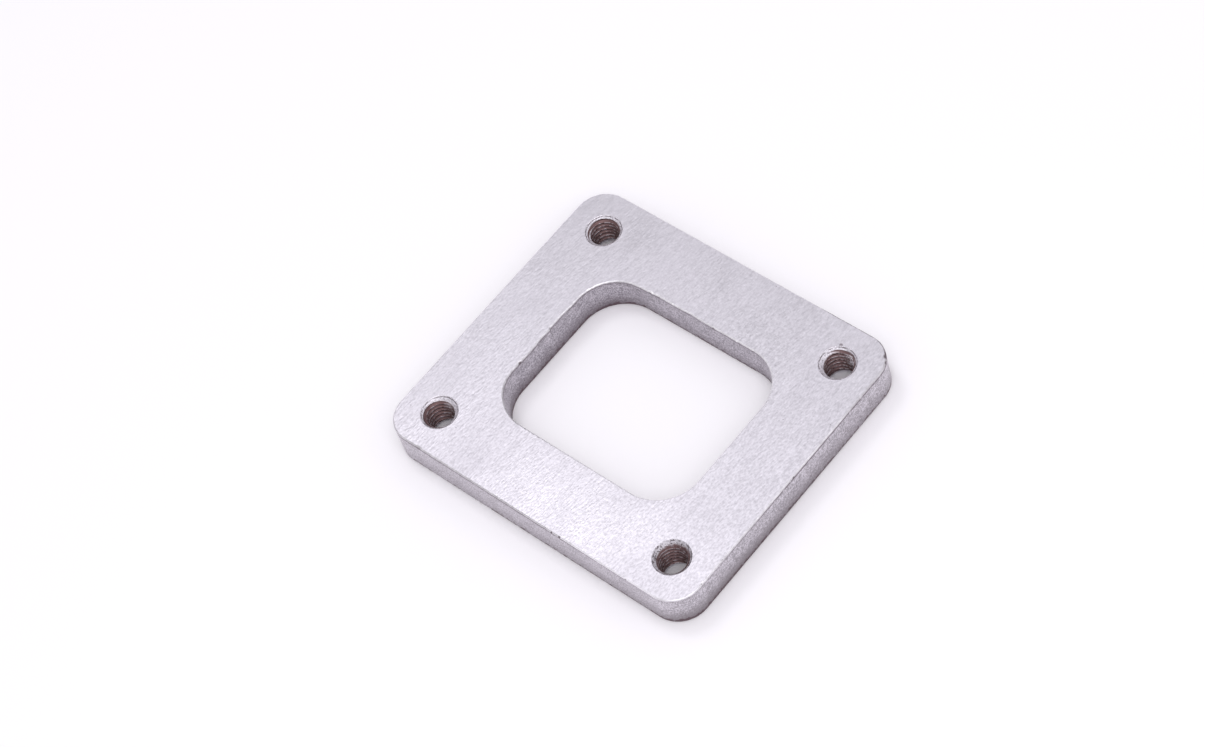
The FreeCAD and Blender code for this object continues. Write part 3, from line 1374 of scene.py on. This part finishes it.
    def finishes(self) -> tuple[GroundSteel, LaserCut, LaserCut, TappedSteel]:
        """Lay out the finishes, with the chips, spots, worn places, painted shade and painted
        highlights that each has of its own.

        Returns:
            One for each value of Finish, in their order.
        """
        thickness, top = self.thickness, self.thickness / MM
        port_x, port_y = self.port_length / 2 / MM, self.port_width / 2 / MM
        chips = (
            Mark(43.2, 37.4, top, 0.45),
            Mark(42.6, 38.1, top, 0.30),
            Mark(44.15, 35.96, top - 0.5, 0.35),
            Mark(44.8, -31.6, top, 0.14),
        )
        pits = (Mark(32.67, 34.3, top, 0.28),)
        ticks = (
            Mark(45.0, 0.8, top - 0.5, 0.25),
            Mark(45.0, 4.6, 0.5, 0.35),
            Mark(10.3, -40.0, top - 0.2, 0.22),
            Mark(8.0, -40.0, top - 0.2, 0.18),
        )
        port_ticks = (
            Mark(4.7, port_y, top - 0.5, 0.22),
            Mark(-port_x, -9.4, top - 0.2, 0.30),
            Mark(26.6, 14.8, 1.0, 0.35),
        )
        # painted glints on the port's top edge
        painted_glints = (
            Mark(-13.6, port_y, top, 0.28),
            Mark(-7.5, port_y, top, 0.22),
            Mark(11.6, port_y, top - 0.2, 0.16),
        )
        # painted shade on the broken edge along +Y near its corner with +X, and along +X
        shaded_edges = (Mark(34.0, 40.0, top, 7.0), Mark(45.0, 26.0, top, 4.0, 0.45))
        dull_hole = (Mark(self.spacing[0] / 2 / MM, -self.spacing[1] / 2 / MM, top, 8.0),)
        # painted highlights on the threads of the holes at +X +Y and at -X -Y
        painted_highlights = (Mark(36.4, 33.2, 6.3, 1.5, 0.9), Mark(-34.0, -26.6, 7.2, 1.6, 0.5))
        return (
            GroundSteel(marks=chips + pits),
            LaserCut("laser_cut_steel", thickness, foot_shade_corner=(0.0, 70 * MM),
                     line_fade_corner=(40 * MM, 80 * MM), marks=chips + ticks, tarnish_and_shade=shaded_edges),
            # painted shade: darker colours for the port's walls, and deeper painted shade at their
            # foot on the side where X + Y is under zero
            LaserCut("port_cut_steel_shaded", thickness, dark=(0.28, 0.258, 0.29),
                     light=(0.64, 0.603, 0.656), low=(0.20, 0.17, 0.19), foot_shade_share=(0.9, 0.45),
                     foot_shade_border=Fringe(0.0, 5.7, 1.2), shade_line_share=0.6,
                     lip_clean_and_lit=(0.6, 0.75, 0.95), marks=port_ticks, painted_glints=painted_glints,
                     seam=self.seam),
            TappedSteel(self.drill / 2, self.sink / 2, thickness, painted_highlights=painted_highlights, tarnish_and_shade=dull_hole),
        )


@dataclass(frozen=True)
class Stand:
    """Where a camera or a light stands and what it looks at.

    Attributes:
        azimuth: the side it stands on, in degrees: 0 towards -Y and 90 towards +X.
        elevation: its angle above the floor, in degrees.
        distance: from the place it looks at.
        aim: that place.
        roll: how far it is turned about its own axis, in degrees.
    """

    azimuth: float
    elevation: float
    distance: float
    aim: Place = (0.0, 0.0, 0.0)
    roll: float = 0.0

    def put(self, name: str, data: bpy.types.ID) -> Object:
        """Link a camera or a light into the scene and stand it here.

        The way to it from its aim has the elevation's sine along Z and its cosine sideways.

        Args:
            name: the new object's name.
            data: the camera or light.

        Returns:
            The object.
        """
        turn, rise = math.radians(self.azimuth), math.radians(self.elevation)
        flat = math.cos(rise)
        away = Vector((math.sin(turn) * flat, -math.cos(turn) * flat, math.sin(rise)))
        level = (-away).to_track_quat("-Z", "Y").to_matrix().to_4x4()
        rolled = level @ Matrix.Rotation(math.radians(self.roll), 4, "Z")
        thing = link(name, data)
        thing.matrix_world = Matrix.Translation(Vector(self.aim) + away * self.distance) @ rolled
        return thing


@dataclass(frozen=True)
class PhotoCamera:
    """The photograph's view of the flange, from a camera fitted to its edges.

    Attributes:
        stand: where it stands, aimed at where its axis meets the flange's top face.
        lens: focal length for the sensor's width.
        sensor: the sensor's width.
        clip: nearest and furthest that it sees.
    """

    stand: Stand = Stand(
        56.6015, 54.4906, 714.13 * MM, (-9.216 * MM, -1.248 * MM, 9.5 * MM), -20.2339
    )
    lens: float = 93.400
    sensor: float = 36.0
    clip: Span = (0.01, 20.0)

    def build(self) -> None:
        """Place the camera and make it the scene's own."""
        data = bpy.data.cameras.new("photo_camera")
        data.lens = self.lens
        data.sensor_width = self.sensor
        data.sensor_fit = "HORIZONTAL"
        data.clip_start, data.clip_end = self.clip
        bpy.context.scene.camera = self.stand.put("photo_camera", data)


@dataclass(frozen=True)
class SoftBox:
    """A square soft light that faces the middle of the flange.

    Attributes:
        name: its name.
        stand: where it stands.
        side: its width and height.
        power: in watts.
    """

    name: str
    stand: Stand
    side: float
    power: float

    def build(self) -> None:
        """Place the light."""
        data = bpy.data.lights.new(self.name, "AREA")
        data.shape = "SQUARE"
        data.size = self.side
        data.energy = self.power
        self.stand.put(self.name, data)


@dataclass(frozen=True)
class Studio:
    """A plain pale floor under soft light from all round.

    Attributes:
        floor_side: width of the floor.
        floor_colour: its colour.
        floor_gloss: its roughness and its specular level.
        sky: brightness of the light from all round.
        sky_colour: its colour.
        boxes: the soft lights.
    """

    floor_side: float = 6.0
    floor_colour: Colour = (0.93, 0.905, 0.955)
    floor_gloss: Span = (0.9, 0.2)
    sky: float = 0.70
    sky_colour: Colour = (1.0, 1.0, 1.0)
    boxes: tuple[SoftBox, ...] = (
        SoftBox("top_box", Stand(0.0, 90.0, 1.0), 0.6, 1.03),
        SoftBox("back_box", Stand(257.0, 66.0, 0.8), 0.2, 0.76),
        SoftBox("front_box", Stand(60.0, 60.0, 0.8), 0.5, 1.69),
        SoftBox("side_box", Stand(110.0, 35.0, 0.8), 0.3, 0.20),
    )

    def build(self) -> None:
        """Make the floor, the light from all round and the soft lights."""
        half = self.floor_side / 2
        corners = [(-half, -half, 0), (half, -half, 0), (half, half, 0), (-half, half, 0)]
        mesh = bpy.data.meshes.new("floor")
        mesh.from_pydata(corners, [], [(0, 1, 2, 3)])
        rough, specular = self.floor_gloss
        pale = Board("pale_floor").surface(
            Base_Color=self.floor_colour, Roughness=rough, Specular_IOR_Level=specular
        )
        mesh.materials.append(pale)
        link("floor", mesh)

        world = bpy.data.worlds.new("soft_light")
        world.use_nodes = True
        background = world.node_tree.nodes["Background"]
        background.inputs["Color"].default_value = (*self.sky_colour, 1.0)
        background.inputs["Strength"].default_value = self.sky
        bpy.context.scene.world = world
        for box in self.boxes:
            box.build()
        bpy.context.scene.view_settings.view_transform = "Standard"


def main() -> None:
    """Build the flange, then the studio and the camera."""
    logging.basicConfig(level=logging.INFO, format="%(message)s")
    Flange.from_frame().build()
    Studio().build()
    PhotoCamera().build()


if __name__ == "__main__":
    main()
